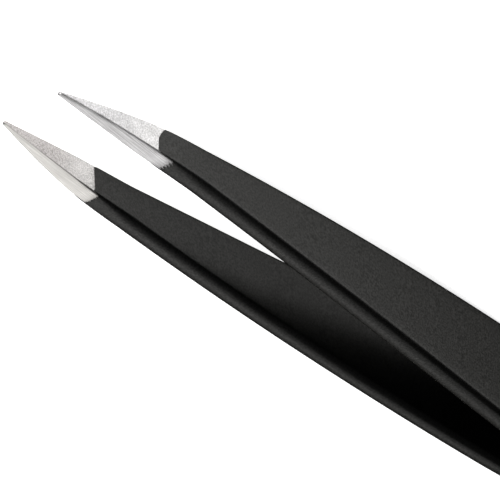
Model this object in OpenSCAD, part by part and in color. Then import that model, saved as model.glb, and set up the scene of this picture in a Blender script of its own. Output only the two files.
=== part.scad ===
// Needle point tweezers: two sprung steel arms, spot-welded flat together at the tail,
// coated matte black, with the points ground back to bare steel.
// X runs from the tail to the points, Y across the gap between the arms, Z is up.
// They lie on the lower side edges of both arms, and the origin is under their middle.

/* [Overall] */
// Length over all, from the tail end to the points
overall_length = 96; // [90:1:105]
// Greatest width of each arm, across its broad faces
arm_width = 9.2; // [8.6:0.1:10.4]
// Thickness of each coated arm
arm_thickness = 1.6; // [1.4:0.1:1.8]

/* [Bow of the arms] */
// Clear gap between the two points at rest
point_gap = 4.8; // [4.4:0.2:6]
// Reach of the curve that leads each arm out of the weld
tail_reach = 24; // [20:1:30]
// Reach of the curve that leads each arm into its point
point_reach = 37.5; // [34:0.5:42]
// Slope at which the arms lean in towards each other at the points
toe_in = 0.027; // [0.015:0.001:0.04]
// Distance behind the points of the line between each arm's shank and its blade
blade_reach = 36; // [30:1:44]

/* [Points] */
// Width of the blunt end of each point
point_width = 0.25; // [0.15:0.05:0.6]
// Thickness of the blunt end of each point
point_thickness = 0.3; // [0.15:0.05:0.6]
// Distance behind the points over which the arms are ground thinner
thinning_length = 13; // [10:1:20]
// Slope at which each side edge widens from the point
point_spread = 0.127; // [0.11:0.001:0.14]
// Length of bare steel in front of the black coat
bare_length = 8.8; // [6:0.2:12]

/* [Widening] */
// Distance behind the points where the arms reach their full width
widening_length = 55; // [52:0.5:60]
// Reach of the wedge that starts at the point
wedge_reach = 20; // [16:1:26]
// Reach of the curve that leads into the full width
shoulder_reach = 4.5; // [3:0.5:10]

/* [Tail] */
// Length over which the two arms lie flat together
weld_length = 12; // [11:0.5:14]
// Distance from the tail end over which the arms narrow to their round end
narrowing_length = 15; // [12:0.5:17]
// Squareness of the tail end: 2 is an ellipse, more is squarer
tail_squareness = 2.8; // [2:0.1:3.2]
// Diameter of each spot weld
weld_diameter = 2.8; // [2:0.1:3.2]
// Depth of each spot weld in each arm
weld_depth = 0.5; // [0.3:0.1:0.6]
// Distances of the spot welds from the tail end
weld_places = [4.2, 8.4];

/* [Flexing zone] */
// Distance from the tail end to the line that each arm flexes about
flex_line = 20; // [18:0.5:22]
// Radius taken off the round end of the shank at the flex line
flex_relief = 0.01; // [0.01:0.005:0.02]
// Gap left round the end of the shank at the flex line
flex_gap = 0.02; // [0.02:0.005:0.04]

/* [Hidden] */
coat_colour = "#33332f";
steel_colour = "#cfccc6";
weld_colour = "#8f8c88";
margin = 1;
bow_steps = 28;
widening_steps = 22;
tail_steps = 18;
round_detail = 64;
flex_halvings = 24;

tip_x = overall_length / 2;
tail_x = -overall_length / 2;
weld_front_x = tail_x + weld_length;
flex_x = tail_x + flex_line;
coat_x = tip_x - bare_length;
blade_x = tip_x - blade_reach;
mid_z = arm_width / 2;
deep_y = point_gap + arm_thickness + margin;

// Inner face of the left arm as one cubic curve, from the weld's front to the point
bow = [
    [weld_front_x, 0],
    [weld_front_x + tail_reach, 0],
    [tip_x - point_reach, point_gap / 2 + point_reach * toe_in],
    [tip_x, point_gap / 2]
];

function on_curve(c, t) =
    pow(1 - t, 3) * c[0] + 3 * t * pow(1 - t, 2) * c[1]
    + 3 * t * t * (1 - t) * c[2] + pow(t, 3) * c[3];

// Thickness of an arm at a distance behind its point
function thickness_at(back) =
    arm_thickness - (arm_thickness - point_thickness) * pow(max(0, 1 - back / thinning_length), 2);

inner_face = [for (i = [0 : bow_steps]) on_curve(bow, i / bow_steps)];

// Outline of the left arm from above: the inner face out, the outer face back
side_profile = concat(
    [[tail_x, 0]],
    inner_face,
    [for (i = [bow_steps : -1 : 0])
        let (p = inner_face[i]) [p[0], p[1] + thickness_at(tip_x - p[0])]],
    [[tail_x, arm_thickness]]
);

narrow_x = tail_x + narrowing_length;

// Upper side edge of an arm as one cubic curve, from the point to the full width
widening = [
    [tip_x, point_width / 2],
    [tip_x - wedge_reach, point_width / 2 + wedge_reach * point_spread],
    [tip_x - widening_length + shoulder_reach, mid_z],
    [tip_x - widening_length, mid_z]
];

// Upper half of an arm's outline on its broad face, from the point to the tail's middle
upper_outline = concat(
    [for (i = [0 : widening_steps]) on_curve(widening, i / widening_steps)],
    [for (i = [0 : tail_steps])
        let (a = 90 * i / tail_steps)
        [narrow_x - narrowing_length * pow(sin(a), 2 / tail_squareness), mid_z * cos(a)]]
);

broad_outline = concat(
    upper_outline,
    [for (i = [len(upper_outline) - 2 : -1 : 0]) [upper_outline[i][0], -upper_outline[i][1]]]
);

// Distance from the middle plane to the middle of the left arm's thickness, at the flex line
flex_t = flex_curve_t(0, 1, flex_halvings);
flex_y = on_curve(bow, flex_t)[1] + arm_thickness / 2;

// Place on the bow, from 0 to 1, where it crosses the flex line, by halving
function flex_curve_t(low, high, left) =
    let (mid = (low + high) / 2)
    left == 0 ? mid
    : on_curve(bow, mid)[0] < flex_x ? flex_curve_t(mid, high, left - 1)
    : flex_curve_t(low, mid, left - 1);

// The whole left arm before it is parted: the bowed strip within the broad outline
module arm_blank() {
    intersection() {
        translate([0, 0, -margin])
            linear_extrude(height = arm_width + 2 * margin)
                polygon(side_profile);
        translate([0, deep_y, mid_z])
            rotate([90, 0, 0])
                linear_extrude(height = deep_y + margin)
                    polygon(broad_outline);
    }
}

// The part of the left arm between two places along its length
module arm_between(from_x, to_x) {
    intersection() {
        arm_blank();
        translate([from_x, -margin, -margin])
            cube([to_x - from_x, deep_y + 2 * margin, arm_width + 2 * margin]);
    }
}

// Round bar along the flex line of the left arm
module flex_bar(radius, overrun) {
    translate([flex_x, flex_y, -overrun])
        cylinder(r = radius, h = arm_width + 2 * overrun, $fn = round_detail);
}

// The spot welds, across the joint between the two tails
module weld_bars() {
    for (place = weld_places)
        translate([tail_x + place, weld_depth, mid_z])
            rotate([90, 0, 0])
                cylinder(d = weld_diameter, h = 2 * weld_depth, $fn = round_detail);
}

// Bare ground point
module left_point() {
    arm_between(coat_x, tip_x + margin);
}

// Coated front half of the arm, from the point back to the shank
module left_blade() {
    arm_between(blade_x, coat_x);
}

// Coated rear half of the arm, with a round end where the arm flexes
module left_shank() {
    arm_between(flex_x, blade_x);
    flex_bar(arm_thickness / 2 - flex_relief, 0);
}

// Coated tail leaf, hollowed for the shank's round end and for the welds
module left_tail() {
    difference() {
        arm_between(tail_x - margin, flex_x);
        flex_bar(arm_thickness / 2 + flex_gap, margin);
        weld_bars();
    }
}

module point_left() { color(steel_colour) left_point(); }
module blade_left() { color(coat_colour) left_blade(); }
module shank_left() { color(coat_colour) left_shank(); }
module tail_left() { color(coat_colour) left_tail(); }
module point_right() { color(steel_colour) mirror([0, 1, 0]) left_point(); }
module blade_right() { color(coat_colour) mirror([0, 1, 0]) left_blade(); }
module shank_right() { color(coat_colour) mirror([0, 1, 0]) left_shank(); }
module tail_right() { color(coat_colour) mirror([0, 1, 0]) left_tail(); }
module weld_spots() { color(weld_colour) weld_bars(); }

point_left();
blade_left();
shank_left();
tail_left();
point_right();
blade_right();
shank_right();
tail_right();
weld_spots();
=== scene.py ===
"""Needle point tweezers: two bowed, matte black coated arms with bare ground points.

The shapes are worked out in mm and made into meshes in metres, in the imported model's frame: x runs
from the tail to the points, y across the gap between the arms, and z is up."""

import math
import random

import bmesh
import bpy
import numpy as np
from mathutils import Matrix, Vector


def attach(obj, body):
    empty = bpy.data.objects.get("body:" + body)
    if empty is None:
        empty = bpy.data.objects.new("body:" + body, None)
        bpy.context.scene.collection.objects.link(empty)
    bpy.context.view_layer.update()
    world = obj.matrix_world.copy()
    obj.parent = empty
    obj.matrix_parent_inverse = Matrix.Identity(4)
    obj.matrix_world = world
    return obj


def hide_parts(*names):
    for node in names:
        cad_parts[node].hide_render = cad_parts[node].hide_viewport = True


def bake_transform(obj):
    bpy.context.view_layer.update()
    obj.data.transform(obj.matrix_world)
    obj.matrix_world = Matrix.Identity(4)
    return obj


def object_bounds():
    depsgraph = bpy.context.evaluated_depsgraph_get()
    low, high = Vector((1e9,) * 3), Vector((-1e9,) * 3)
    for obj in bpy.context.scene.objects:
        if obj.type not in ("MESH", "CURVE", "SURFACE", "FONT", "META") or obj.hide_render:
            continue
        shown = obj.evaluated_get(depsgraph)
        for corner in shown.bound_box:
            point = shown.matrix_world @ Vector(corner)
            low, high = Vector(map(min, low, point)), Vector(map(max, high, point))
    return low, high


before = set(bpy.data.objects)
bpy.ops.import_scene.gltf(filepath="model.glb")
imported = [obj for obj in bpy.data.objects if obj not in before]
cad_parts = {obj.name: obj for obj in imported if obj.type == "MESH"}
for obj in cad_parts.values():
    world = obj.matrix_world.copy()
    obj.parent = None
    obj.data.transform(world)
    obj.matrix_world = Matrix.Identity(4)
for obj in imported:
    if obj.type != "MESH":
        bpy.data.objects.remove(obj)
cad_low, cad_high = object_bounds()

MM = 0.001
# For the coat line's teeth
random.seed(7)

# ---------------------------------------------------------------- the arms' shape, in mm
TIP_X = cad_high[0] / MM
TAIL_X = cad_low[0] / MM
LENGTH = TIP_X - TAIL_X
MID_Z = cad_high[2] / MM / 2
THICK = 1.6

# Bow: the left arm's inner face, as a cubic curve from the weld's front to the point
POINT_GAP = 4.8
WELD_LENGTH = 12
TAIL_REACH = 24
POINT_REACH = 37.5
TOE_IN = 0.027
BOW = [
    (TAIL_X + WELD_LENGTH, 0),
    (TAIL_X + WELD_LENGTH + TAIL_REACH, 0),
    (TIP_X - POINT_REACH, POINT_GAP / 2 + POINT_REACH * TOE_IN),
    (TIP_X, POINT_GAP / 2),
]

# Edge: half an arm's width, as a cubic curve from the point to where it is widest
POINT_WIDTH = 0.25
POINT_SPREAD = 0.127
WEDGE_REACH = 20
SHOULDER_REACH = 4.5
WIDENING = 55
WIDEST_X = TIP_X - WIDENING
EDGE = [
    (TIP_X, POINT_WIDTH / 2),
    (TIP_X - WEDGE_REACH, POINT_WIDTH / 2 + WEDGE_REACH * POINT_SPREAD),
    (WIDEST_X + SHOULDER_REACH, MID_Z),
    (WIDEST_X, MID_Z),
]

# Thinning of the point, and the squared ellipse of the tail end
POINT_THICK = 0.3
THINNING = 13
NARROWING = 15
SQUARENESS = 2.8

CURVE_SAMPLES = 3000


def curve_table(curve):
    """Places on a cubic curve, ordered by their first coordinate."""
    t = np.linspace(0, 1, CURVE_SAMPLES)[:, None]
    u = 1 - t
    p = [np.array([point]) for point in curve]
    places = u**3 * p[0] + 3 * t * u * u * p[1] + 3 * t * t * u * p[2] + t**3 * p[3]
    return places[np.argsort(places[:, 0])]


BOW_TABLE = curve_table(BOW)
EDGE_TABLE = curve_table(EDGE)


def inner_y(x):
    """The left arm's inner face at x."""
    return float(np.interp(x, BOW_TABLE[:, 0], BOW_TABLE[:, 1]))


def thickness(x):
    """The arm's thickness at x."""
    near = max(0.0, 1 - (TIP_X - x) / THINNING)
    return THICK - (THICK - POINT_THICK) * near**2


def half_width(x):
    """Half the width of the arm's broad faces at x."""
    if x >= WIDEST_X:
        return float(np.interp(x, EDGE_TABLE[:, 0], EDGE_TABLE[:, 1]))
    narrow_x = TAIL_X + NARROWING
    if x >= narrow_x:
        return MID_Z
    part = min(1.0, (narrow_x - x) / NARROWING)
    return MID_Z * max(0.0, 1 - part**SQUARENESS) ** (1 / SQUARENESS)


def ramp(low, high, x):
    """0 up to low, 1 from high on, and a straight climb between."""
    return min(1.0, max(0.0, (x - low) / (high - low)))


def smooth(low, high, x):
    """As ramp, but with a climb that starts and ends level."""
    t = ramp(low, high, x)
    return t * t * (3 - 2 * t)


# ---------------------------------------------------------------- rings round an arm
FACE_STEPS = 10
SIDE_STEPS = 18
CORNER_STEPS = 7
# Half the length over which the outline's direction is measured
SLOPE_REACH = 0.02
# The most of the section's thickness that one rounded corner may take
CORNER_SHARE = 0.48


def ring_layout():
    """Each point of a ring as (part, share along it, sign of z), round the section."""
    layout = [("inner", 1 - i / FACE_STEPS, 1) for i in range(FACE_STEPS)]
    layout += [("inner corner", 1 - i / CORNER_STEPS, 1) for i in range(CORNER_STEPS)]
    layout += [("side", i / SIDE_STEPS, 1) for i in range(SIDE_STEPS)]
    layout += [("outer corner", i / CORNER_STEPS, 1) for i in range(CORNER_STEPS)]
    layout += [("outer", i / FACE_STEPS, 1) for i in range(FACE_STEPS)]
    layout += [("outer corner", 1 - i / CORNER_STEPS, -1) for i in range(CORNER_STEPS)]
    layout += [("side", 1 - i / SIDE_STEPS, -1) for i in range(SIDE_STEPS)]
    layout += [("inner corner", i / CORNER_STEPS, -1) for i in range(CORNER_STEPS)]
    return layout


RING = ring_layout()


def station(x):
    """Half width at x, and the upper edge's outward direction there, as (x, z)."""
    ahead, behind = min(x + SLOPE_REACH, TIP_X), max(x - SLOPE_REACH, TAIL_X)
    dx, dz = behind - ahead, half_width(behind) - half_width(ahead)
    length = math.hypot(dx, dz)
    return half_width(x), (dz / length, -dx / length)


def section_point(part, share, y_in, y_out, rounding):
    """(pull, y) of a point of the section: how far it lies in from the outline, and its y.

    Rounding is (r_in, r_out, crown): the radii of the corners at the inner and outer face, and
    the angle by which the crowned side face turns to either side of its middle."""
    r_in, r_out, crown = rounding
    r_in, r_out = (min(r, CORNER_SHARE * (y_out - y_in)) for r in (r_in, r_out))
    y_mid = (y_in + y_out) / 2 + (r_in - r_out) * (1 - math.sin(crown)) / 2
    crown_radius = (y_out - r_out - y_mid) / math.sin(crown) + r_out
    if part == "side":
        turn = crown * (2 * share - 1)
        return crown_radius * (1 - math.cos(turn)), y_mid + crown_radius * math.sin(turn)
    inward = part in ("inner", "inner corner")
    r = r_in if inward else r_out
    turn = crown + share * (math.pi / 2 - crown) if "corner" in part else math.pi / 2
    pull = crown_radius * (1 - math.cos(crown)) + r * (math.cos(crown) - math.cos(turn))
    rise = r * (1 - math.sin(turn))
    return pull, y_in + rise if inward else y_out - rise


def arm_ring(xs, rounding_at, inner_change, inset):
    """A ring of points round the left arm, in mm, with one x for each point of RING.

    Inset is how far all of it lies below the arm's own surface."""
    points = []
    for (part, share, sign), x in zip(RING, xs):
        h, (nx, nz) = station(x)
        h = max(0.0, h - inset)
        y_in, y_out = inner_y(x) + inset, inner_y(x) + thickness(x) - inset
        pull, y = section_point(part, share, y_in, y_out, rounding_at(x, inner_change))
        reach = max(0.0, h - pull * nz)
        across = 1 - 2 * share if part in ("inner", "outer") else 1
        points.append((x - pull * nx, y, MID_Z + sign * reach * across))
    return points


# In metres: an end ring lower than SHUT_HEIGHT is shut already and gets no cap, and points
# within MERGE_WITHIN of each other become one
SHUT_HEIGHT = 0.01 * MM
MERGE_WITHIN = 2e-6


def loft(name, rings, mirrored, material):
    """A closed mesh through the rings, in metres, mirrored in y for the right arm."""
    bm = bmesh.new()
    side = -1 if mirrored else 1
    loops = [[bm.verts.new((x * MM, side * y * MM, z * MM)) for x, y, z in r] for r in rings]
    for a, b in zip(loops, loops[1:]):
        for k in range(len(a)):
            n = (k + 1) % len(a)
            bm.faces.new((a[k], a[n], b[n], b[k]))
    for loop in (loops[0], loops[-1]):
        heights = [v.co.z for v in loop]
        if max(heights) - min(heights) < SHUT_HEIGHT:
            continue
        centre = bm.verts.new(sum((v.co for v in loop), Vector()) / len(loop))
        for k in range(len(loop)):
            bm.faces.new((loop[k], loop[(k + 1) % len(loop)], centre))
    bmesh.ops.remove_doubles(bm, verts=bm.verts, dist=MERGE_WITHIN)
    bmesh.ops.recalc_face_normals(bm, faces=bm.faces)
    mesh = bpy.data.meshes.new(name)
    bm.to_mesh(mesh)
    bm.free()
    for polygon in mesh.polygons:
        polygon.use_smooth = True
    mesh.materials.append(material)
    piece = bpy.data.objects.new(name, mesh)
    bpy.context.scene.collection.objects.link(piece)
    return piece


# ---------------------------------------------------------------- rounding, in mm
# The coat's corners widen by CORNER_GAIN over one stretch behind the point. Then, as far as
# CHANGE_TO, the outer ones gain OUTER_CHANGE and the inner ones change by each arm's own amount.
CORNER_AT_LINE = 0.15
CORNER_GAIN = 0.25
GAIN_FROM, GAIN_TO = 8.6, 12.6
OUTER_CHANGE = 0.12
INNER_CHANGE_FROM, CHANGE_TO = 20, 36

# The steel's inner corners widen and its outer ones tighten towards STEEL_SPREAD behind the
# point, and both turn into the coat's between JOIN_FROM and JOIN_TO
STEEL_SPREAD = 9
STEEL_LEAST_PART = 0.3
STEEL_INNER = 0.08
STEEL_OUTER = 0.2
STEEL_OUTER_LOSS = 0.1
JOIN_FROM, JOIN_TO = 7, 8.6

# Crowns of the side faces, in degrees
CROWN_AT_LINE = 6
CROWN_GAIN = 10
STEEL_CROWN = 3


def coat_rounding(x, inner_change):
    """The coat's rounding at x. Inner_change is how far the inner corners go on to widen, or to
    tighten where it is negative, towards the rear."""
    back = TIP_X - x
    wider = ramp(GAIN_FROM, GAIN_TO, back)
    radius = CORNER_AT_LINE + CORNER_GAIN * wider
    inner = radius + inner_change * ramp(INNER_CHANGE_FROM, CHANGE_TO, back)
    outer = radius + OUTER_CHANGE * ramp(GAIN_TO, CHANGE_TO, back)
    return inner, outer, math.radians(CROWN_AT_LINE + CROWN_GAIN * wider)


def steel_rounding(x, inner_change):
    """The steel's own tight corners, which meet the coat's before the coat begins."""
    back = TIP_X - x
    part = min(1.0, max(STEEL_LEAST_PART, back / STEEL_SPREAD))
    joined = smooth(JOIN_FROM, JOIN_TO, back)
    own = (STEEL_INNER * part, STEEL_OUTER - STEEL_OUTER_LOSS * part, math.radians(STEEL_CROWN))
    coat = coat_rounding(x, inner_change)
    return tuple(mine + (theirs - mine) * joined for mine, theirs in zip(own, coat))


# ---------------------------------------------------------------- the coat line, in mm
# Distances behind the point at which the coat starts: on the inner face, with a slight slant
# across it, over the upper half of the outer face, and at the outer face's lower edge. On the
# side faces each arm has its own.
INNER_LINE = 8.75
INNER_SLANT = 0.1
OUTER_LINE = 8.1
OUTER_LOW_LINE = 8.55

# Power of the bend down to the outer face's lower edge, and the share of a rounded corner over
# which the line goes from its place on the side face to its place on the broad face
OUTER_BEND = 1.5
LINE_TURN_FROM, LINE_TURN_TO = 0.15, 1.0

# Teeth of the line on the side faces, each TOOTH_POINTS of the ring wide, along the grind lines,
# and the line's slight unevenness elsewhere
TOOTH_POINTS = 4
LEAST_TOOTH = 0.6
TOOTH_BACK = 0.4
UNEVEN = 0.015


def coat_line(part, share, sign, side_line):
    """Distance behind the point at which the coat starts, at one point of the ring."""
    across = (1 - 2 * share) * sign
    if part == "inner":
        return INNER_LINE + INNER_SLANT * across
    if part == "outer":
        return OUTER_LINE + (OUTER_LOW_LINE - OUTER_LINE) * max(0.0, -across) ** OUTER_BEND
    if part == "side":
        return side_line
    if part == "inner corner":
        face_line = INNER_LINE
    else:
        face_line = OUTER_LOW_LINE if sign < 0 else OUTER_LINE
    return side_line + (face_line - side_line) * smooth(LINE_TURN_FROM, LINE_TURN_TO, share)


def coat_starts(side_line, tooth):
    """Distance behind the point at which the coat starts, at each point of the ring."""
    starts = []
    for k, (part, share, sign) in enumerate(RING):
        start = coat_line(part, share, sign, side_line)
        if part == "side":
            sawtooth = 1 - k % TOOTH_POINTS / (TOOTH_POINTS - 1)
            start += tooth * (random.uniform(LEAST_TOOTH, 1) * sawtooth - TOOTH_BACK)
        else:
            start += random.uniform(-UNEVEN, UNEVEN)
        starts.append(start)
    return starts


# ---------------------------------------------------------------- the two pieces of an arm, in mm
# Behind COAT_BASE the coat's rings turn from the uneven line to plain ones over COAT_FADE, and a
# first ring, LIP_INSET below the surface, closes the coat's front edge against the steel
COAT_BASE = 8.8
COAT_FADE = 4.5
LIP_INSET = 0.035
# Steps from ring to ring, each after the distance behind the point up to which it holds
COAT_STEPS = ((COAT_BASE + 0.01, 0.02), (COAT_BASE + 0.5, 0.12), (14, 0.35), (math.inf, 0.8))
# The stretch at the tail where the rings gather towards its round end
TAIL_END_LENGTH = 16
TAIL_END_STEPS = 44

# The steel lies STEEL_INSET below the coat's surface, and its rings open out towards the rear
STEEL_INSET = 0.02
STEEL_LENGTH = 10.8
FIRST_RING = 0.12
RING_STEP = 0.08
RING_GROWTH = 0.06
STEEL_RINGS = 34
# The blunt end: distance behind the point, and share of the section's size there
BLUNT_END = {0.0: 0.45, 0.02: 0.75, 0.06: 0.93}


def coat_backs():
    """Distances of the coat's rings behind the point, closer where the shape turns faster."""
    backs = []
    back = COAT_BASE
    while back < LENGTH - TAIL_END_LENGTH:
        backs.append(back)
        back += next(step for limit, step in COAT_STEPS if back < limit)
    tail_end = backs[-1]
    for i in range(1, TAIL_END_STEPS + 1):
        turn = math.pi / 2 * i / TAIL_END_STEPS
        backs.append(tail_end + (LENGTH - tail_end) * math.sin(turn))
    return backs


def make_coat(side_name, mirrored, side_line, tooth, inner_change, material):
    """The coated arm, from the coat line to the tail end."""
    starts = coat_starts(side_line, tooth)
    rings = [arm_ring([TIP_X - s for s in starts], coat_rounding, inner_change, LIP_INSET)]
    for back in coat_backs():
        fade = 1 - smooth(COAT_BASE, COAT_BASE + COAT_FADE, back)
        xs = [TIP_X - (back + (s - COAT_BASE) * fade) for s in starts]
        rings.append(arm_ring(xs, coat_rounding, inner_change, 0.0))
    return loft("coat_" + side_name, rings, mirrored, material)


def blunted(ring, share):
    """The ring drawn in to a share of its size, about the middle of the section."""
    mid_y = sum(y for _, y, _ in ring) / len(ring)
    return [(x, mid_y + (y - mid_y) * share, MID_Z + (z - MID_Z) * share) for x, y, z in ring]


def make_point(side_name, mirrored, inner_change, material):
    """The bare ground point, as far as it runs on under the coat."""
    backs = list(BLUNT_END)
    backs += [FIRST_RING + RING_STEP * i * (1 + RING_GROWTH * i) for i in range(STEEL_RINGS)]
    backs = [back for back in backs if back < STEEL_LENGTH] + [STEEL_LENGTH]
    rings = []
    for back in backs:
        ring = arm_ring([TIP_X - back] * len(RING), steel_rounding, inner_change, STEEL_INSET)
        rings.append(blunted(ring, BLUNT_END[back]) if back in BLUNT_END else ring)
    return loft("steel_point_" + side_name, rings, mirrored, material)


# ---------------------------------------------------------------- materials
class Surface:
    """A new material, with the kinds of node that the materials below are made of."""

    def __init__(self, name):
        self.material = bpy.data.materials.new(name)
        self.material.use_nodes = True
        self.nodes = self.material.node_tree.nodes
        self.inputs = self.nodes["Principled BSDF"].inputs

    def feed(self, socket, value):
        """Link a socket to another node's output, or set it to a number, vector or colour."""
        if isinstance(value, bpy.types.NodeSocket):
            self.material.node_tree.links.new(value, socket)
        else:
            socket.default_value = value

    def finish(self, values):
        """Feed the shader's sockets by name, and return the material."""
        for name, value in values.items():
            self.feed(self.inputs[name], value)
        return self.material

    def coordinates(self, kind):
        return self.nodes.new("ShaderNodeTexCoord").outputs[kind]

    def along(self, axis, vector):
        node = self.nodes.new("ShaderNodeSeparateXYZ")
        self.feed(node.inputs["Vector"], vector)
        return node.outputs[axis]

    def noise(self, vector, scale, detail, roughness=0.5):
        node = self.nodes.new("ShaderNodeTexNoise")
        self.feed(node.inputs["Vector"], vector)
        self.feed(node.inputs["Scale"], scale)
        self.feed(node.inputs["Detail"], detail)
        self.feed(node.inputs["Roughness"], roughness)
        return node.outputs["Fac"]

    def streaks(self, vector, scales, detail, roughness=0.5):
        """Noise with a scale of its own along each axis."""
        node = self.nodes.new("ShaderNodeVectorMath")
        node.operation = "MULTIPLY"
        self.feed(node.inputs[0], vector)
        self.feed(node.inputs[1], scales)
        return self.noise(node.outputs["Vector"], 1, detail, roughness)

    def calculate(self, operation, *values):
        node = self.nodes.new("ShaderNodeMath")
        node.operation = operation
        for socket, value in zip(node.inputs, values):
            self.feed(socket, value)
        return node.outputs["Value"]

    def map_range(self, value, from_range, to_range):
        node = self.nodes.new("ShaderNodeMapRange")
        self.feed(node.inputs["Value"], value)
        names = ("From Min", "From Max", "To Min", "To Max")
        for name, number in zip(names, from_range + to_range):
            self.feed(node.inputs[name], number)
        return node.outputs["Result"]

    def mix(self, kind, factor, a, b, blend="MIX"):
        node = self.nodes.new("ShaderNodeMix")
        node.data_type = kind
        node.blend_type = blend
        self.feed(node.inputs["Factor"], factor)
        self.feed(node.inputs["A"], a)
        self.feed(node.inputs["B"], b)
        return node.outputs["Result"]

    def mix_colours(self, factor, dark, light):
        return self.mix("RGBA", factor, (*dark, 1), (*light, 1))

    def bump(self, height, strength, distance):
        node = self.nodes.new("ShaderNodeBump")
        self.feed(node.inputs["Height"], height)
        self.feed(node.inputs["Strength"], strength)
        self.feed(node.inputs["Distance"], distance)
        return node.outputs["Normal"]


# The middle stretch of a noise, which its values seldom leave
NOISE_SPAN = (0.3, 0.7)


def black_coat():
    """Matte coat with a fine grain, made as a very dark metal with blurred reflections."""
    surface = Surface("black_coat")
    place = surface.coordinates("Object")
    grain = surface.noise(place, scale=6500, detail=2, roughness=0.6)
    cloud = surface.noise(place, scale=260, detail=3)
    speckle = surface.map_range(grain, (0.35, 0.65), (0, 1))
    colour = surface.mix_colours(speckle, (0.034, 0.034, 0.033), (0.055, 0.0545, 0.053))
    return surface.finish({
        "Base Color": colour,
        "Metallic": 1,
        "Specular Tint": (0.3, 0.3, 0.3, 1),
        "Roughness": surface.map_range(cloud, NOISE_SPAN, (0.28, 0.33)),
        "Normal": surface.bump(grain, strength=0.3, distance=0.000015),
    })


# The stretch of the points, in metres, over which the broad faces go over to the painted shade of
# their front half
TIP_SHADE_FROM = (TIP_X - 7.5) * MM
TIP_SHADE_TO = (TIP_X - 4.8) * MM


def bare_steel(name, face, side, tip_shade):
    """Ground steel. Face and side are the (dark, light) colours of the broad and side faces. Their
    levels are partly painted shade: the side faces and each arm get their own, set to how bright
    they show.
    The third colour multiplies the front half of the broad faces: painted shade that darkens them
    towards the point."""
    surface = Surface(name)
    place = surface.coordinates("Object")
    # Grain of the broad faces, grind lines along the side faces, and soft patches on both
    grain = surface.streaks(place, (12500, 12500, 9000), detail=2, roughness=0.7)
    lines = surface.streaks(place, (300, 15000, 2500), detail=2, roughness=0.7)
    patches = surface.streaks(place, (900, 700, 1400), detail=3)
    upright = surface.calculate("ABSOLUTE", surface.along("Z", surface.coordinates("Normal")))
    on_side = surface.map_range(upright, (0.5, 0.85), (0, 1))
    height = surface.mix("FLOAT", on_side, grain, lines)
    shade = surface.calculate("MULTIPLY_ADD", patches, 0.3, height)
    lightness = surface.map_range(shade, (0.5, 0.8), (0, 1))
    # Painted shade: the broad faces are darkened towards the point
    at_tip = surface.map_range(surface.along("X", place), (TIP_SHADE_FROM, TIP_SHADE_TO), (0, 1))
    face_colour = surface.mix_colours(lightness, *face)
    tip_shaded = surface.mix("RGBA", at_tip, face_colour, (*tip_shade, 1), blend="MULTIPLY")
    # The side faces' own colours are partly painted shade, set to how bright they show
    side_colour = surface.mix_colours(lightness, *side)
    return surface.finish({
        "Base Color": surface.mix("RGBA", on_side, tip_shaded, side_colour),
        "Metallic": 1,
        "Roughness": surface.map_range(patches, NOISE_SPAN, (0.3, 0.42)),
        "Normal": surface.bump(height, strength=0.8, distance=0.00002),
    })


def dull_steel():
    """Stained steel of the spot welds."""
    surface = Surface("weld_steel")
    stain = surface.noise(surface.coordinates("Object"), scale=1500, detail=4)
    return surface.finish({
        "Base Color": surface.mix_colours(stain, (0.2, 0.19, 0.18), (0.45, 0.44, 0.43)),
        "Metallic": 1,
        "Roughness": surface.map_range(stain, NOISE_SPAN, (0.45, 0.7)),
        "Normal": surface.bump(stain, strength=0.4, distance=0.00004),
    })


def glowing_white():
    """The floor's even white glow, without any shine."""
    return Surface("floor").finish({
        "Base Color": (0.85, 0.85, 0.85, 1),
        "Roughness": 0.9,
        "Specular IOR Level": 0.0,
        "Emission Color": (1, 1, 1, 1),
        "Emission Strength": 0.75,
    })


# ---------------------------------------------------------------- camera
CAMERA_AT = Vector((150.25, -108.1, 110.53)) * MM
LOOK_AT = Vector((26.12, 0.0, 5.07)) * MM
ROLL = math.radians(180.1)

camera = bpy.data.objects.new("camera", bpy.data.cameras.new("camera"))
camera.data.lens = 200
camera.data.sensor_width = 36
camera.data.clip_start = 0.01
camera.data.clip_end = 20
facing = (LOOK_AT - CAMERA_AT).to_track_quat("-Z", "Y").to_matrix().to_4x4()
camera.matrix_world = Matrix.Translation(CAMERA_AT) @ facing @ Matrix.Rotation(ROLL, 4, "Z")
bpy.context.scene.collection.objects.link(camera)
bpy.context.scene.camera = camera

# ---------------------------------------------------------------- the pieces
coat = black_coat()
# Each arm's steel has its own colour levels, partly painted shade for how bright its faces show; the
# grain is the same
steel_left = bare_steel(
    "bare_steel_left",
    face=((0.34, 0.33, 0.32), (0.7, 0.68, 0.665)),
    side=((0.53, 0.515, 0.49), (0.7, 0.68, 0.65)),
    tip_shade=(0.74, 0.72, 0.72),
)
steel_right = bare_steel(
    "bare_steel_right",
    face=((0.35, 0.345, 0.34), (0.67, 0.66, 0.655)),
    side=((0.38, 0.37, 0.37), (0.71, 0.7, 0.7)),
    tip_shade=(0.9, 0.9, 0.91),
)
# Each arm: mirrored or not, distance behind the point of the coat line on its side faces, depth
# of that line's teeth, change of its inner corners towards the rear, and its steel
arms = {
    "left": (False, 9.3, 0.14, 0.15, steel_left),
    "right": (True, 9.6, 0.4, -0.2, steel_right),
}
# Each arm's coat is baked in place of the model's blade, shank and tail, and its steel point is
# attached to the arm's body in place of the model's point
for side_name, (mirrored, side_line, tooth, inner_change, steel) in arms.items():
    body = make_coat(side_name, mirrored, side_line, tooth, inner_change, coat)
    point = make_point(side_name, mirrored, inner_change, steel)
    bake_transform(body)
    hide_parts("blade_" + side_name, "shank_" + side_name, "tail_" + side_name)
    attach(point, "arm_" + side_name)
    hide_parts("point_" + side_name)

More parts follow.
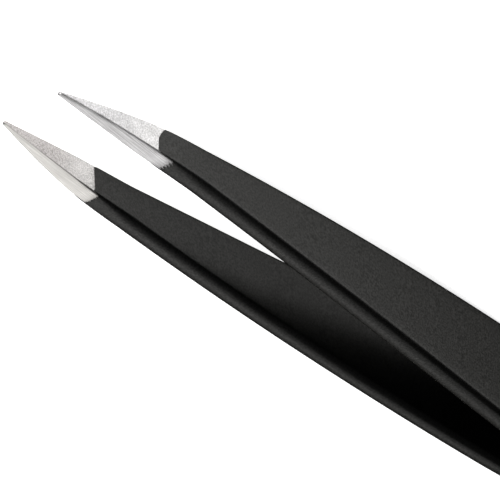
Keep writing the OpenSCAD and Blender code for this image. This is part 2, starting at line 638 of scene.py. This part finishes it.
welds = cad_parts["weld_spots"]
welds.data.materials.clear()
welds.data.materials.append(dull_steel())

# ---------------------------------------------------------------- floor and light, in metres
FLOOR_HALF = 3.0
FLOOR_DROP = 0.00002

floor_mesh = bpy.data.meshes.new("floor")
corners = [(-1, -1), (1, -1), (1, 1), (-1, 1)]
floor_corners = [(x * FLOOR_HALF, y * FLOOR_HALF, 0) for x, y in corners]
floor_mesh.from_pydata(floor_corners, [], [(0, 1, 2, 3)])
floor_mesh.materials.append(glowing_white())
floor = bpy.data.objects.new("floor", floor_mesh)
floor.location.z = -FLOOR_DROP
bpy.context.scene.collection.objects.link(floor)


def softbox(name, at, aim, size, radiance):
    """A square soft light; radiance is the brightness that a mirror would show."""
    light = bpy.data.lights.new(name, "AREA")
    light.shape = "SQUARE"
    light.size = size
    light.energy = radiance * math.pi * size * size
    lamp = bpy.data.objects.new(name, light)
    lamp.location = at
    lamp.rotation_euler = (Vector(at) - Vector(aim)).to_track_quat("Z", "Y").to_euler()
    lamp.visible_camera = False
    bpy.context.scene.collection.objects.link(lamp)


MIDDLE = (0, 0, 0)
POINTS = (0.04, -0.01, 0)
softbox("top_light", at=(0.09, 0, 0.9), aim=MIDDLE, size=0.8, radiance=0.6)
softbox("key_light", at=(0.45, -0.3, 0.6), aim=MIDDLE, size=0.5, radiance=2.0)
softbox("near_light", at=(0.1, -0.06, 0.09), aim=POINTS, size=0.07, radiance=9.0)
softbox("back_panel", at=(-0.36, 0.42, 0.22), aim=MIDDLE, size=0.46, radiance=1.15)
softbox("upper_panel", at=(-0.39, 0.22, 0.4), aim=MIDDLE, size=0.3, radiance=0.55)
softbox("high_panel", at=(-0.17, 0.36, 0.44), aim=MIDDLE, size=0.28, radiance=1.15)

world = bpy.data.worlds.new("studio")
world.use_nodes = True
background = world.node_tree.nodes["Background"].inputs
background["Color"].default_value = (1, 1, 1, 1)
background["Strength"].default_value = 0.03
bpy.context.scene.world = world
bpy.context.scene.view_settings.view_transform = "Standard"
